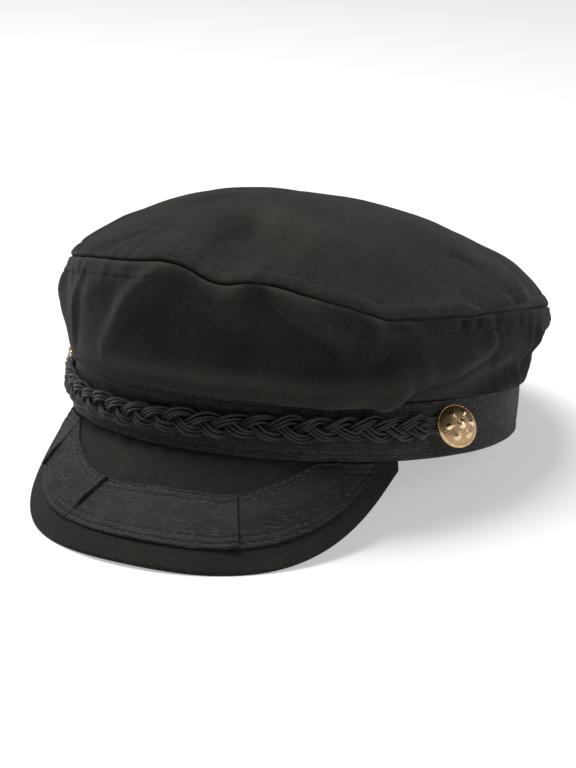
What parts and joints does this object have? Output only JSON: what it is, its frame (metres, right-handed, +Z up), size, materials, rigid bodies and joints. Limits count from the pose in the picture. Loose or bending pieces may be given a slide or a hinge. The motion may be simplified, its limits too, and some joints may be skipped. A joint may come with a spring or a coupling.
{
  "type": "breton fisherman cap",
  "caption": "Soft cotton cap with a full crown, a stiff ribbon-faced band, a curved peak with a pleated ribbon, and a plaited cord between brass buttons.",
  "frame": {"origin": "on the surface the cap rests on, under the middle of its bounding box", "axes": "+Z up, the peak towards -Y, the wearer's left towards +X"},
  "size_m": [0.1958, 0.2608, 0.1152],
  "materials": {
    "cotton": "washed black cotton twill, matt",
    "ribbon": "black figured ribbon with a low sheen",
    "cord": "black satin cord",
    "brass": "struck brass, darkened in its hollows"
  },
  "bodies": {
    "root": {"crown_top": "cotton", "crown_side_front": "cotton", "crown_side_back": "cotton", "headband": "cotton", "band_ribbon": "ribbon", "peak": "cotton", "peak_ribbon": "ribbon", "braid_strand_1": "cord", "braid_strand_2": "cord", "braid_strand_3": "cord", "button_left": "brass", "button_right": "brass"}
  },
  "joints": []
}
